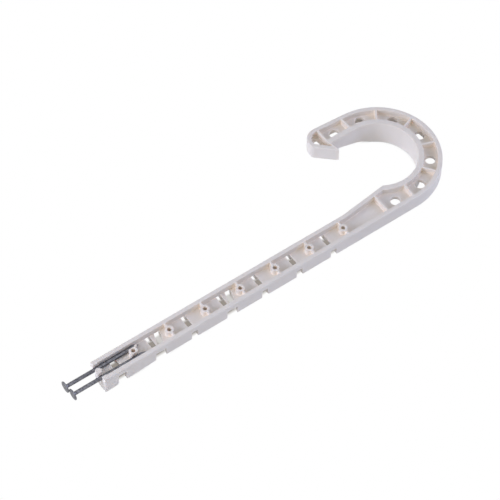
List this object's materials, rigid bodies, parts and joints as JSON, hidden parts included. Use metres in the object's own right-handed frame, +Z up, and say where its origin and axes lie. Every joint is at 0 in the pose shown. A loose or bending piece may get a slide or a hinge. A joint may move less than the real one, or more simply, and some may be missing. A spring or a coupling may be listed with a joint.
{
  "type": "pipe j-hook",
  "caption": "Moulded plastic J-hook that hangs a pipe: a ribbed saddle on a long open shank with nail bosses, its nails carried loose in the shank's end.",
  "frame": {"origin": "on the held pipe's axis, in the plane of the saddle's lower edge", "axes": "+X along the shank from the nails towards the hook, +Y from the shank across the mouth to the hook's tip, +Z up along the pipe's axis to the open ribbed side"},
  "size_m": [0.3604, 0.1001, 0.0231],
  "materials": {
    "hook_plastic": "moulded, satin",
    "nail_steel": "bright wire, dulled"
  },
  "bodies": {
    "root": {"hook_body": "hook_plastic", "nail_far": "nail_steel", "nail_near": "nail_steel"}
  },
  "joints": []
}
